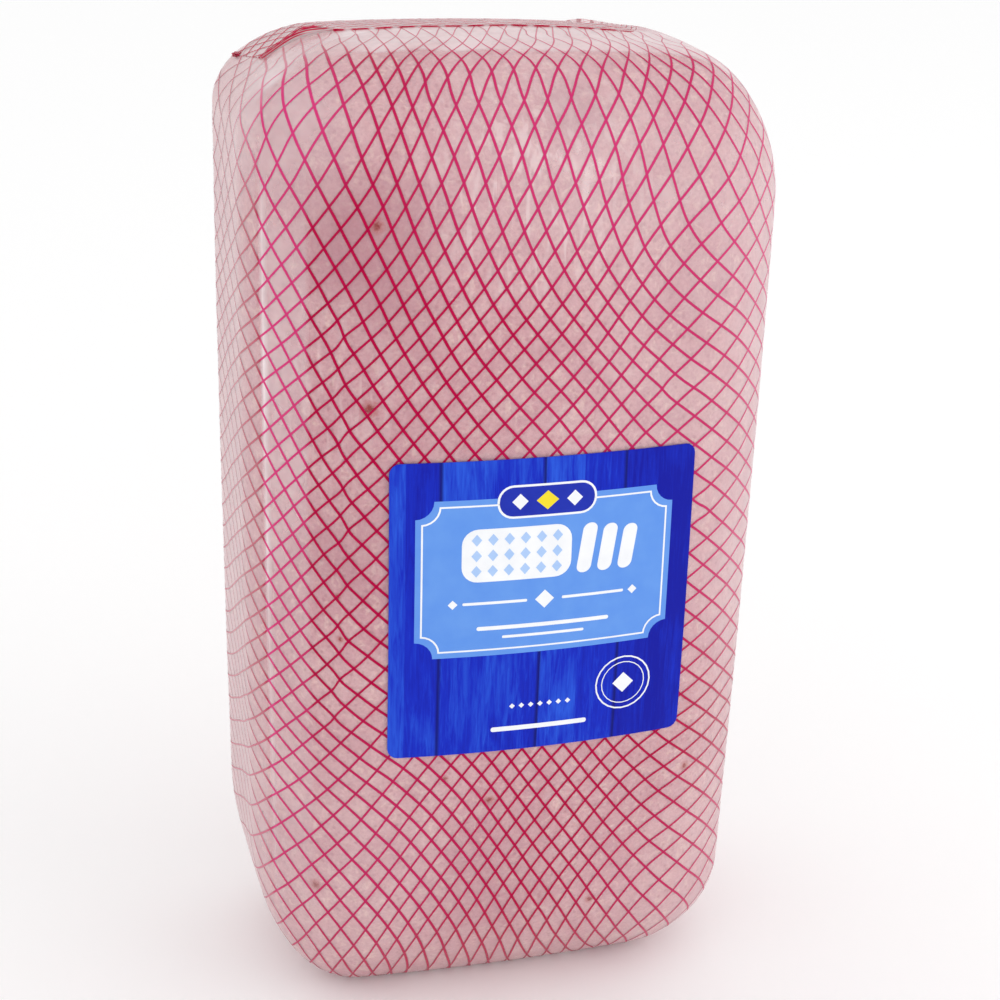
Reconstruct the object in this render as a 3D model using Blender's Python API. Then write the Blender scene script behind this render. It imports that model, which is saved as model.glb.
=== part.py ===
# Ham loaf in a printed shrink film, standing on its square end.
# Metres, +Z up, the labelled front faces -Y, the base lies on z = 0.
import math

import bmesh
import bpy
from mathutils import Vector
from mathutils.bvhtree import BVHTree

# Loaf: half sizes of the rounded box that the bulges are added to
half_width = 0.0820
half_depth = 0.0504
half_height = 0.1530
depth_shift = -0.0009

# Corner radii of the loaf, each an ellipse: across, in depth and in height
radius_across_front = 0.0348
radius_across_back = 0.0294
radius_depth_front = 0.0340
radius_depth_back = 0.0202
radius_top_left = 0.0221
radius_top_right = 0.0436
radius_bottom_left = 0.0539
radius_bottom_right = 0.0319

# How far the middle of each face swells out
bulge_sides = 0.0015
bulge_front = 0.0105
bulge_back = 0.0028
bulge_ends = 0.0058

# Lean of the loaf and slope of its top, as rises for each metre
lean_across = 0.0061
taper = 0.107
top_slope_back = 0.0081
top_slope_right = -0.017

# The base is pressed flat where its swelling passes this share
base_press = 0.45

# Cells of the loaf's skin across, in depth and in height
cells_across = 22
cells_depth = 16
cells_height = 34

# Closed end of the film, folded flat over the back half of the top
fold_left_front = -0.0712
fold_left_back = -0.0738
fold_right = 0.0590
fold_front = -0.0025
fold_back = 0.0280
fold_thickness = 0.0011
fold_left_extra = 0.0011
fold_knot_extra = 0.0016
fold_knot_place = 0.0385
fold_knot_width = 0.0080
fold_wave = 0.0009
fold_sink = 0.0020
fold_cells_long = 30
fold_cells_wide = 7

# Paper label that follows the swollen front
label_width = 0.0951
label_height = 0.0966
label_centre_across = 0.0022
label_centre_height = -0.0067
label_corner = 0.0032
label_gap = 0.0003
label_thickness = 0.0004
label_cells = 12


def linear_colour(hex_code):
    channels = []
    for start in (0, 2, 4):
        value = int(hex_code[start:start + 2], 16) / 255
        if value <= 0.04045:
            channels.append(value / 12.92)
        else:
            channels.append(((value + 0.055) / 1.055) ** 2.4)
    return (*channels, 1.0)


def make_material(name, hex_code, roughness):
    material = bpy.data.materials.new(name)
    material.use_nodes = True
    shader = material.node_tree.nodes["Principled BSDF"]
    shader.inputs["Base Color"].default_value = linear_colour(hex_code)
    shader.inputs["Roughness"].default_value = roughness
    shader.inputs["Metallic"].default_value = 0.0
    material.diffuse_color = linear_colour(hex_code)
    return material


def make_object(name, mesh_data, material):
    mesh = bpy.data.meshes.new(name)
    mesh_data.normal_update()
    mesh_data.to_mesh(mesh)
    mesh_data.free()
    mesh.materials.append(material)
    mesh.shade_smooth()
    piece = bpy.data.objects.new(name, mesh)
    bpy.context.scene.collection.objects.link(piece)
    return piece


def blend(first, second, share):
    return first * (1 - share) + second * share


def cut_block(cuts):
    # a cube of half size 1 with its edges cut into equal lengths, axis by axis
    block = bmesh.new()
    bmesh.ops.create_cube(block, size=2.0)
    for axis, count in enumerate(cuts):
        long_edges = []
        for edge in block.edges:
            span = edge.verts[1].co - edge.verts[0].co
            if abs(span[axis]) > 1.5:
                long_edges.append(edge)
        if count > 1:
            bmesh.ops.subdivide_edges(block, edges=long_edges, cuts=count - 1, use_grid_fill=True)
    return block


def round_corners(unit):
    # the corners of the box become parts of ellipsoids, whose radii change
    # from front to back and from the left side to the right side
    back = (unit.y + 1) / 2
    right = (unit.x + 1) / 2
    if unit.z > 0:
        radius_height = blend(radius_top_left, radius_top_right, right)
    else:
        radius_height = blend(radius_bottom_left, radius_bottom_right, right)
    radii = (
        blend(radius_across_front, radius_across_back, back),
        blend(radius_depth_front, radius_depth_back, back),
        radius_height,
    )
    halves = (half_width, half_depth, half_height)
    core = Vector()
    beyond = Vector()
    for axis in range(3):
        place = unit[axis] * halves[axis]
        limit = halves[axis] - radii[axis]
        core[axis] = max(-limit, min(limit, place))
        beyond[axis] = (place - core[axis]) / radii[axis]
    if beyond.length > 0:
        beyond.normalize()
    for axis in range(3):
        core[axis] += beyond[axis] * radii[axis]
    return core


def swell(point):
    # each face swells most at its middle and not at all at its rim
    across = point.x / half_width
    deep = point.y / half_depth
    high = point.z / half_height
    rim_across = max(0.0, 1 - across ** 2)
    rim_deep = max(0.0, 1 - deep ** 2)
    rim_high = max(0.0, 1 - high ** 2)
    bulge_depth = bulge_front if deep < 0 else bulge_back
    swollen = Vector(point)
    swollen.x += across * bulge_sides * rim_deep * rim_high
    swollen.y += deep * bulge_depth * rim_across * rim_high + depth_shift
    swollen.z += high * bulge_ends * rim_across * rim_deep
    return swollen


def settle(point):
    # the loaf leans and tapers a little, its top slopes and its base is flat
    settled = Vector(point)
    settled.x *= 1 + taper * point.z
    settled.y *= 1 + taper * point.z
    settled.x += lean_across * point.z
    upper_share = max(0.0, point.z / half_height)
    settled.z += upper_share * (top_slope_back * settled.y + top_slope_right * settled.x)
    lowest = -(half_height + base_press * bulge_ends)
    settled.z = max(settled.z, lowest) - lowest
    return settled


def make_loaf():
    loaf = cut_block((cells_across, cells_depth, cells_height))
    for vert in loaf.verts:
        vert.co = settle(swell(round_corners(vert.co)))
    bmesh.ops.recalc_face_normals(loaf, faces=loaf.faces)
    return loaf


def fold_rise(across):
    # the folded film is thickest at its gathered left end and at its knot
    left = max(0.0, min(1.0, (-0.046 - across) / 0.016))
    from_knot = (across - fold_knot_place) / fold_knot_width
    knot = math.exp(-from_knot ** 2)
    right = max(0.0, min(1.0, (fold_right - across) / 0.020))
    rise = fold_thickness * blend(0.45, 1.0, right)
    return rise + fold_left_extra * left + fold_knot_extra * knot


def make_fold(loaf_tree):
    # a strip of film with a wavy rim, laid over the loaf's top and sunk in it
    fold = cut_block((fold_cells_long, fold_cells_wide, 1))
    for vert in fold.verts:
        along = (vert.co.x + 1) / 2
        back = (vert.co.y + 1) / 2
        left_end = blend(fold_left_front, fold_left_back, back)
        across = blend(left_end, fold_right, along)
        wave = math.sin(across / 0.0095) + 0.5 * math.sin(across / 0.0041 + 1.3)
        near_rim = 1 - back
        deep = blend(fold_front, fold_back, back) + fold_wave * wave * near_rim
        over = Vector((across, deep, 1.0))
        skin, outward = loaf_tree.ray_cast(over, Vector((0, 0, -1)))[:2]
        if vert.co.z > 0:
            vert.co = skin + outward * fold_rise(across)
        else:
            vert.co = skin - outward * fold_sink
    bmesh.ops.recalc_face_normals(fold, faces=fold.faces)
    return fold


def make_label(loaf_tree):
    # a square sheet with round corners, laid on the front and given thickness
    label = bmesh.new()
    bmesh.ops.create_grid(label, x_segments=label_cells, y_segments=label_cells, size=0.5)
    corners = [vert for vert in label.verts if len(vert.link_edges) == 2]
    for vert in label.verts:
        vert.co.x *= label_width
        vert.co.y *= label_height
    bmesh.ops.bevel(
        label,
        geom=corners,
        offset=label_corner,
        offset_type="OFFSET",
        segments=4,
        profile=0.5,
        affect="VERTICES",
    )
    middle = half_height + base_press * bulge_ends
    for vert in label.verts:
        across = label_centre_across + vert.co.x
        height = middle + label_centre_height + vert.co.y
        before = Vector((across, -1.0, height))
        skin = loaf_tree.ray_cast(before, Vector((0, 1, 0)))[0]
        vert.co = (across, skin.y - label_gap, height)
    back_faces = list(label.faces)
    raised = bmesh.ops.extrude_face_region(label, geom=back_faces, use_keep_orig=True)
    for item in raised["geom"]:
        if isinstance(item, bmesh.types.BMVert):
            item.co.y -= label_thickness
    bmesh.ops.recalc_face_normals(label, faces=label.faces)
    return label


def join_solids(base, extra):
    union = base.modifiers.new("Fused fold", "BOOLEAN")
    union.operation = "UNION"
    union.object = extra
    union.solver = "EXACT"
    graph = bpy.context.evaluated_depsgraph_get()
    fused = bpy.data.meshes.new_from_object(base.evaluated_get(graph))
    base.modifiers.remove(union)
    base.data = fused
    bpy.data.objects.remove(extra)


def centre_on_origin(pieces):
    # the middle of the whole in X and Y comes to the origin
    points = [vert.co for piece in pieces for vert in piece.data.vertices]
    shift_x = (min(p.x for p in points) + max(p.x for p in points)) / 2
    shift_y = (min(p.y for p in points) + max(p.y for p in points)) / 2
    for piece in pieces:
        for vert in piece.data.vertices:
            vert.co.x -= shift_x
            vert.co.y -= shift_y


for old in list(bpy.data.objects):
    bpy.data.objects.remove(old)

ham_material = make_material("Film over pressed ham", "D9AFB2", 0.22)
paper_material = make_material("Printed label paper", "1D57CC", 0.35)

loaf_mesh = make_loaf()
loaf_tree = BVHTree.FromBMesh(loaf_mesh)
fold_mesh = make_fold(loaf_tree)
label_mesh = make_label(loaf_tree)

ham_pack = make_object("ham_pack", loaf_mesh, ham_material)
folded_end = make_object("folded_end", fold_mesh, ham_material)
join_solids(ham_pack, folded_end)
ham_pack.data.set_sharp_from_angle(angle=math.radians(40))

front_label = make_object("front_label", label_mesh, paper_material)
front_label.data.set_sharp_from_angle(angle=math.radians(40))

centre_on_origin([ham_pack, front_label])
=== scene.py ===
import math

import bmesh
import bpy
import numpy as np
from mathutils import Matrix, Vector, noise
from mathutils.bvhtree import BVHTree


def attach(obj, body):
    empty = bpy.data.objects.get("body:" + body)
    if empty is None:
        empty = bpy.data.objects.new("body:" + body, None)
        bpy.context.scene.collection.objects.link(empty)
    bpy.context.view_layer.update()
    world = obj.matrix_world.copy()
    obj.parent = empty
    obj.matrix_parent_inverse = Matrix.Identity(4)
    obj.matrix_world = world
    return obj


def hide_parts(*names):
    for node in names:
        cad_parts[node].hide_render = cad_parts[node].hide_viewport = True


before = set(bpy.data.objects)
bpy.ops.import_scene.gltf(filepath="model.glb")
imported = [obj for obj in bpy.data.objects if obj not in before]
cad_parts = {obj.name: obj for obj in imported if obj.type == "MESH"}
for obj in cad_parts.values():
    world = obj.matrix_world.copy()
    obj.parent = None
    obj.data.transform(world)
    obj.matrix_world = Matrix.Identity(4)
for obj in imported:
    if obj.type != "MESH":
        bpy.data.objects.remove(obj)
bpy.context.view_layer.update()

millimetre = 0.001
tinyLength = 1e-9  # keeps a division away from zero
farOut = 1.0  # metres, well outside of the pack, where rays start


def linearColour(hexCode):
    channels = []
    for start in (0, 2, 4):
        value = int(hexCode[start:start + 2], 16) / 255
        if value <= 0.04045:
            channels.append(value / 12.92)
        else:
            channels.append(((value + 0.055) / 1.055) ** 2.4)
    return (*channels, 1.0)


def addNode(tree, kind, inputs, **settings):
    # an input is a value, a socket or a node, which gives its first live output
    node = tree.nodes.new("ShaderNode" + kind)
    for key, value in settings.items():
        setattr(node, key, value)
    for name, value in inputs.items():
        if isinstance(value, bpy.types.Node):
            value = next(socket for socket in value.outputs if socket.enabled)
        if isinstance(value, bpy.types.NodeSocket):
            tree.links.new(value, node.inputs[name])
        else:
            node.inputs[name].default_value = value
    return node


def newMaterial(name):
    # an empty material, and the place on the piece that its patterns read
    material = bpy.data.materials.new(name)
    material.use_nodes = True
    tree = material.node_tree
    tree.nodes.clear()
    return material, tree, addNode(tree, "TexCoord", {}).outputs["Object"]


def span(low, high, least=0, most=1):
    # a Map Range node's own numbers
    return {"From Min": low, "From Max": high, "To Min": least, "To Max": most}


def setRamp(node, stops):
    # stops are (place, hex colour or grey), from first to last
    elements = node.color_ramp.elements
    for index, (place, tone) in enumerate(stops):
        element = elements[index] if index < 2 else elements.new(place)
        element.position = place
        element.color = linearColour(tone) if isinstance(tone, str) else (tone, tone, tone, 1)
    return node


def layTints(tree, colour, tints):
    # tints are (share, hex colour), laid over the colour from first to last
    for share, hexCode in tints:
        colour = addNode(tree, "Mix", {
            "Factor": share, "A": colour, "B": linearColour(hexCode),
        }, data_type="RGBA")
    return colour


def deselectAll():
    if bpy.context.object and bpy.context.object.mode != "OBJECT":
        bpy.ops.object.mode_set(mode="OBJECT")
    bpy.ops.object.select_all(action="DESELECT")


def makeActive(piece):
    deselectAll()
    piece.select_set(True)
    bpy.context.view_layer.objects.active = piece


def nameBoth(piece, name):
    piece.name = name
    piece.data.name = name


def readVectors(items, key):
    flat = np.empty(len(items) * 3)
    items.foreach_get(key, flat)
    return flat.reshape(-1, 3)


def readPoints(piece):
    return readVectors(piece.data.vertices, "co")


def readNormals(piece):
    return readVectors(piece.data.vertex_normals, "vector")


def readCorners(piece):
    # the vertex at each corner of each face
    corners = np.empty(len(piece.data.loops), dtype=int)
    piece.data.loops.foreach_get("vertex_index", corners)
    return corners


def writePoints(piece, points):
    piece.data.vertices.foreach_set("co", np.ascontiguousarray(points).ravel())
    piece.data.update()


def addCutBlock(name, cells, halvings=0):
    # a cube of half size 1, its edges subdivided axis by axis, and then
    # every cell halved both ways as often as asked
    uncutEdge = 1.5  # edges that aren't cut yet are 2 long
    deselectAll()
    bpy.ops.mesh.primitive_cube_add(size=2)
    piece = bpy.context.object
    nameBoth(piece, name)
    bpy.ops.object.mode_set(mode="EDIT")
    bpy.ops.mesh.select_mode(type="EDGE")
    for axis, count in enumerate(cells):
        bpy.ops.mesh.select_all(action="DESELECT")
        grid = bmesh.from_edit_mesh(piece.data)
        for edge in grid.edges:
            apart = edge.verts[1].co - edge.verts[0].co
            if abs(apart[axis]) > uncutEdge:
                edge.select_set(True)
        bmesh.update_edit_mesh(piece.data)
        if count > 1:
            bpy.ops.mesh.subdivide(number_cuts=count - 1)
    bpy.ops.mesh.select_all(action="SELECT")
    for halving in range(halvings):
        bpy.ops.mesh.subdivide(number_cuts=1)
    bpy.ops.object.mode_set(mode="OBJECT")
    return piece


def finishPiece(piece, material, smoothAngle):
    makeActive(piece)
    bpy.ops.object.shade_smooth_by_angle(angle=math.radians(smoothAngle))
    piece.data.materials.clear()
    piece.data.materials.append(material)
    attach(piece, "root")


def treeOf(piece):
    points = [tuple(vertex.co) for vertex in piece.data.vertices]
    faces = [tuple(face.vertices) for face in piece.data.polygons]
    return BVHTree.FromPolygons(points, faces)


def blend(first, second, share):
    return first * (1 - share) + second * share


def smoothShare(value, start, length):
    # rises smoothly from 0 at the start to 1 a length further; a length below
    # zero runs the other way
    share = np.clip((value - start) / length, 0, 1)
    return share * share * (3 - 2 * share)


def moundShare(value, place, wide):
    # 1 at the place, falling off over its left and its right width
    beside = value - place
    return np.exp(-(beside / np.where(beside < 0, *wide)) ** 2)


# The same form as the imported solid, worked out on a finer skin
loafForm = {
    "half": (0.0820, 0.0504, 0.1530),
    "depthShift": -0.0009,
    "radiusAcross": (0.0348, 0.0294),  # front, back
    "radiusDepth": (0.0340, 0.0202),  # front, back
    "radiusTop": (0.0221, 0.0436),  # left, right
    "radiusBottom": (0.0539, 0.0319),  # left, right
    "bulgeSides": 0.0015,
    "bulgeFront": 0.0105,
    "bulgeBack": 0.0028,
    "bulgeEnds": 0.0058,
    "lean": 0.0061,
    "taper": 0.107,
    "topSlopeBack": 0.0081,
    "topSlopeRight": -0.017,
    "basePress": 0.45,
    "centred": (-0.0004187, 0.0050661),
    "cells": (62, 36, 88),
    "halvings": 1,
    "smoothAngle": 60,
}
loafMiddle = loafForm["half"][2] + loafForm["basePress"] * loafForm["bulgeEnds"]


def roundCorners(unit):
    halves = np.array(loafForm["half"])
    back = (unit[:, 1] + 1) / 2
    right = (unit[:, 0] + 1) / 2
    top = blend(*loafForm["radiusTop"], right)
    bottom = blend(*loafForm["radiusBottom"], right)
    radii = np.stack([
        blend(*loafForm["radiusAcross"], back),
        blend(*loafForm["radiusDepth"], back),
        np.where(unit[:, 2] > 0, top, bottom),
    ], axis=1)
    place = unit * halves
    core = np.clip(place, radii - halves, halves - radii)
    beyond = (place - core) / radii
    length = np.linalg.norm(beyond, axis=1, keepdims=True)
    beyond = np.where(length > 0, beyond / np.maximum(length, tinyLength), 0)
    return core + beyond * radii


def swell(points):
    # each face swells most at its middle and not at all at its rim
    share = points / np.array(loafForm["half"])
    rim = np.clip(1 - share ** 2, 0, None)
    bulge = np.where(share[:, 1] < 0, loafForm["bulgeFront"], loafForm["bulgeBack"])
    moved = points.copy()
    moved[:, 0] += share[:, 0] * loafForm["bulgeSides"] * rim[:, 1] * rim[:, 2]
    moved[:, 1] += share[:, 1] * bulge * rim[:, 0] * rim[:, 2] + loafForm["depthShift"]
    moved[:, 2] += share[:, 2] * loafForm["bulgeEnds"] * rim[:, 0] * rim[:, 1]
    return moved


def settle(points):
    # the loaf leans and tapers a little, its top slopes and its base is flat
    moved = points.copy()
    moved[:, :2] *= 1 + loafForm["taper"] * points[:, 2:3]
    moved[:, 0] += loafForm["lean"] * points[:, 2]
    upper = np.clip(points[:, 2] / loafForm["half"][2], 0, None)
    slope = loafForm["topSlopeBack"] * moved[:, 1] + loafForm["topSlopeRight"] * moved[:, 0]
    moved[:, 2] += upper * slope
    moved[:, 2] = np.maximum(moved[:, 2], -loafMiddle) + loafMiddle
    moved[:, :2] += loafForm["centred"]
    return moved


def makeLoafSkin(name):
    skin = addCutBlock(name, loafForm["cells"], loafForm["halvings"])
    writePoints(skin, settle(swell(roundCorners(readPoints(skin)))))
    return skin


def noiseField(points, size, offset):
    # smooth noise in -1..1 at the given feature size, the same on every run
    shift = Vector(offset)
    return np.array([noise.noise(Vector(point) / size + shift) for point in points])


# The print is counted in meshes: how many lie across and up from the middle
# of the front, at stations round the loaf (rows) and up it (columns), in mm.
# A pair named fade or lead is (start, length) of a smooth change, in mm.
netForm = {
    "coreHalf": 32,
    "sideRadius": 54.4,
    "rimReach": 52,
    "edgeRadius": 30,
    "edgeStart": 123,
    "roundStations": (-150, 31.25),  # start and step
    "upStations": (-170, 45),
    "meshesRound": 45,
    "seamShare": 0.6,  # of a turn, which no face spans but at the ring's seam
    "tornSlope": 900,  # meshes for each metre, which no true face reaches
    "leastArea": 1e-20,
    "lineWidth": 0.76,
    "leastHalf": 0.0005,  # half a line in meshes, where none is printed
    "lineEdge": (1.3, 0.7),  # the ink fades in between these shares of the half
    "familyGain": 0.13,  # one family is wider than the other on the left
    "familyFade": (15, -45),
    "sideLoss": 0.10,
    "sideFade": (-82, -10),
    "topLoss": 0.40,
    "topFade": (155, 9),
    # where the counts over the top take over from those round the loaf
    "topLeadReach": (48, -10),
    "topLeadBack": (25, -27),
    # at the left upper corner the counts across are led towards the top's
    "cornerShift": -0.30,
    "cornerLeadUp": (60, 80),
    "cornerLeadFront": (-74, -14),
    "cornerLeadBack": (-165, 40),
    "wobble": 0.035,  # meshes
    "wobbleSize": 0.014,
    "wobbleOffsets": ((3.1, 0.4, 7.7), (9.2, 5.5, 1.8)),
    # small wrinkles that make the lines jog: place round, height, jump in meshes
    "wrinkles": (
        (-57, 78, 0.16), (-57.5, 64, 0.10), (-56.5, 49, 0.17),
        (-56, 33, 0.13), (-56, 20, 0.18), (-56.5, 5, 0.09),
        (-57, -14, 0.17), (-58.5, -30, 0.14), (-59, -43, 0.08),
        (38, 60, 0.06), (52, 20, -0.06),
    ),
    "wrinkleWide": 1.3,
    "wrinkleReach": 5.5,
    "wrinkleTail": 6,  # widths over which a jump dies out again
    "across": (
        (-11.8, -11.7, -11.4, -11.4, -12.0, -12.6, -13.2, -13.2, -12.8),
        (-9.7, -10.1, -9.9, -9.7, -10.1, -10.5, -11.2, -11.3, -10.6),
        (-6.9, -8.0, -7.8, -7.1, -7.5, -8.1, -9.0, -9.2, -8.3),
        (-3.7, -4.6, -4.6, -3.5, -3.2, -3.9, -5.2, -5.8, -6.0),
        (-0.5, -0.2, -0.1, 0.3, 1.0, 0.7, -0.3, -1.2, -2.8),
        (3.7, 4.9, 5.0, 4.7, 4.8, 4.6, 4.5, 3.4, 2.1),
        (8.0, 9.3, 9.3, 8.8, 8.5, 8.5, 8.9, 7.6, 6.6),
        (11.6, 12.1, 11.7, 11.3, 11.0, 11.3, 11.9, 11.3, 10.2),
        (14.7, 14.3, 13.5, 12.9, 12.9, 13.8, 14.7, 14.7, 13.8),
    ),
    "up": (
        (-19.8, -16.1, -11.2, -5.6, -0.3, 5.1, 10.5, 14.9, 19.0),
        (-18.5, -15.7, -11.3, -5.8, -0.6, 4.7, 10.0, 14.0, 17.6),
        (-17.1, -14.6, -10.7, -5.5, -0.3, 4.7, 9.8, 13.7, 17.2),
        (-16.2, -14.3, -10.3, -5.2, -0.2, 4.9, 9.6, 13.3, 17.1),
        (-15.8, -14.5, -10.3, -5.2, -0.3, 4.8, 9.7, 13.1, 16.0),
        (-15.9, -14.5, -10.2, -5.1, -0.2, 4.8, 9.8, 13.0, 15.4),
        (-16.5, -14.4, -10.2, -5.1, -0.1, 5.0, 9.8, 12.9, 15.8),
        (-17.4, -14.3, -9.7, -4.6, 0.4, 5.3, 9.9, 13.7, 17.3),
        (-17.9, -13.9, -8.9, -3.7, 1.1, 5.8, 10.6, 15.1, 19.1),
    ),
    # the same over the top, at stations across (rows) and back (columns)
    "endAcrossStations": (-75, 25),
    "endBackStations": (-50, 8),
    "endAcross": (
        (-7.8, -8.4, -9.2, -9.7, -10.3, -10.7, -11.4),
        (-4.8, -5.5, -6.0, -6.5, -6.9, -7.3, -7.5),
        (-1.0, -1.4, -1.9, -2.4, -2.8, -3.0, -3.2),
        (2.7, 2.4, 2.1, 2.0, 1.9, 1.5, 1.2),
        (6.3, 5.9, 5.9, 6.0, 6.2, 6.0, 5.8),
        (9.6, 9.6, 9.9, 10.6, 11.1, 11.0, 10.8),
        (12.9, 12.9, 13.1, 13.6, 14.3, 14.8, 15.5),
    ),
    "endUp": (
        (11.6, 12.5, 13.1, 13.6, 13.9, 14.1, 14.5),
        (12.4, 13.5, 14.2, 14.7, 15.1, 15.3, 15.4),
        (12.7, 13.3, 14.0, 15.0, 15.5, 15.8, 16.1),
        (12.6, 13.1, 13.7, 14.8, 15.3, 15.5, 15.8),
        (12.3, 13.0, 13.7, 14.5, 15.0, 15.1, 15.3),
        (12.1, 13.1, 14.1, 14.9, 15.6, 16.0, 16.1),
        (12.1, 12.8, 13.5, 14.3, 15.2, 16.1, 17.0),
    ),
}


def curveThrough(before, first, second, after, share):
    return 0.5 * (
        2 * first
        + (second - before) * share
        + (2 * before - 5 * first + 4 * second - after) * share ** 2
        + (3 * first - before - 3 * second + after) * share ** 3
    )


def stationValues(rows, place, start, step):
    # rows of values on evenly spaced stations, read between them smoothly
    values = np.asarray(rows)
    place = (place - start) / step
    padded = np.concatenate([
        [2 * values[0] - values[1]], values, [2 * values[-1] - values[-2]],
    ])
    inside = np.clip(place, 0, len(values) - 1)
    cell = np.minimum(inside.astype(int), len(values) - 2)
    share = inside - cell
    column = [np.arange(values.shape[1])] if values.ndim == 2 else []
    around = [padded[(cell + nearby, *column)] for nearby in range(4)]
    low, high = values[1] - values[0], values[-1] - values[-2]
    beyond = place - inside
    return curveThrough(*around, share) + np.where(beyond < 0, low, high) * beyond


def fromMiddle(points):
    # millimetres across, in depth and up from the loaf's middle, and across
    # from its straight core
    across = (points[:, 0] - loafForm["centred"][0]) / millimetre
    deep = (points[:, 1] - loafForm["centred"][1]) / millimetre
    high = (points[:, 2] - loafMiddle) / millimetre
    beside = across - np.clip(across, -netForm["coreHalf"], netForm["coreHalf"])
    return across, deep, high, beside


def ringPlace(points):
    # millimetres round the loaf and up over its ends, from the front's middle
    across, deep, high, beside = fromMiddle(points)
    core = netForm["coreHalf"]
    reach = np.hypot(beside, deep)
    turn = np.arctan2(np.abs(beside), -deep)
    side = np.sign(across)
    halfRing = 2 * core + math.pi * netForm["sideRadius"]
    around = np.where(
        np.abs(across) > core,
        side * (core + netForm["sideRadius"] * turn),
        np.where(deep < 0, across, side * (halfRing - np.abs(across))),
    )
    endStart = netForm["edgeStart"]
    radius = netForm["edgeRadius"]
    inner = netForm["rimReach"] - radius
    tilt = np.arctan2(np.abs(high) - endStart, reach - inner)
    overEdge = np.where(
        reach < inner,
        endStart + radius * math.pi / 2 + inner - reach,
        endStart + radius * tilt,
    )
    up = np.sign(high) * np.where(np.abs(high) < endStart, np.abs(high), overEdge)
    return around, up, 2 * halfRing


def countMeshes(points):
    around, up, ringLength = ringPlace(points)
    start, step = netForm["roundStations"]
    corner = smoothShare(up, *netForm["cornerLeadUp"])
    corner = corner * smoothShare(around, *netForm["cornerLeadFront"])
    corner = corner * smoothShare(around, *netForm["cornerLeadBack"])
    around = np.where(around < start, around + ringLength, around)
    across, deep, high, beside = fromMiddle(points)
    onTop = smoothShare(np.hypot(beside, deep), *netForm["topLeadReach"])
    onTop = onTop * smoothShare(deep, *netForm["topLeadBack"])
    onTop = np.where(high > 0, onTop, 0)
    counts = []
    for rows, endRows, turnGain, shift in (
        ("across", "endAcross", netForm["meshesRound"], netForm["cornerShift"] * corner),
        ("up", "endUp", 0, 0),
    ):
        atHeight = np.array([
            stationValues(row, up, *netForm["upStations"]) for row in netForm[rows]
        ])
        shown = stationValues(atHeight, around, start, step)
        # behind, one smooth curve closes the ring with a whole number of meshes
        last = start + step * (len(atHeight) - 1)
        gap = ringLength + start - last
        leave = (atHeight[-1] - atHeight[-2]) / step * gap
        arrive = (atHeight[1] - atHeight[0]) / step * gap
        left, right = atHeight[0] + turnGain, atHeight[-1]
        closing = curveThrough(
            left - 2 * leave, right, left, right + 2 * arrive,
            np.clip((around - last) / gap, 0, 1),
        )
        ring = np.where(around > last, closing, shown)
        behindLeft = (onTop > 0) & (across < 0) & (around > last + gap / 2)
        ring = np.where(behindLeft, ring - turnGain, ring) + shift
        atDepth = np.array([
            stationValues(row, deep, *netForm["endBackStations"]) for row in netForm[endRows]
        ])
        end = stationValues(atDepth, across, *netForm["endAcrossStations"])
        counts.append(blend(ring, end, onTop))
    for count, offset in zip(counts, netForm["wobbleOffsets"]):
        count += netForm["wobble"] * noiseField(points, netForm["wobbleSize"], offset)
    for place, height, jump in netForm["wrinkles"]:
        near = np.exp(-((up - height) / netForm["wrinkleReach"]) ** 2)
        beside = (around - place) / netForm["wrinkleWide"]
        tail = np.tanh(beside / netForm["wrinkleTail"])
        counts[0] += jump * near * (np.tanh(beside) - tail)
    return counts[0] + counts[1], counts[0] - counts[1]


def lineWidths(points):
    # metres, of the rising and of the falling lines at each point
    around, up, ringLength = ringPlace(points)
    onSide = smoothShare(around, *netForm["sideFade"])
    onTop = smoothShare(up, *netForm["topFade"])
    width = netForm["lineWidth"] * millimetre
    width = width * (1 - netForm["sideLoss"] * onSide - netForm["topLoss"] * onTop)
    lopsided = netForm["familyGain"] * smoothShare(around, *netForm["familyFade"])
    return width * (1 + lopsided), width * (1 - lopsided)


def writeMap(piece, name, first, second):
    # a pair of values for each corner of each face
    layer = piece.data.uv_layers.new(name=name)
    flat = np.stack([first, second], axis=1).astype(np.float32).ravel()
    layer.data.foreach_set("uv", flat)


def writeNet(piece, rising, falling, halfRising, halfFalling):
    # the counts of both families of lines, and half their widths in meshes
    writeMap(piece, "netCount", rising, falling)
    writeMap(piece, "netLine", halfRising, halfFalling)


def closeRing(onFaces, wholeTurn):
    # a face over the ring's seam gets its values from one side of it
    limit = onFaces.min(axis=1, keepdims=True) + netForm["seamShare"] * wholeTurn
    return np.where(onFaces > limit, onFaces - wholeTurn, onFaces)


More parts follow.
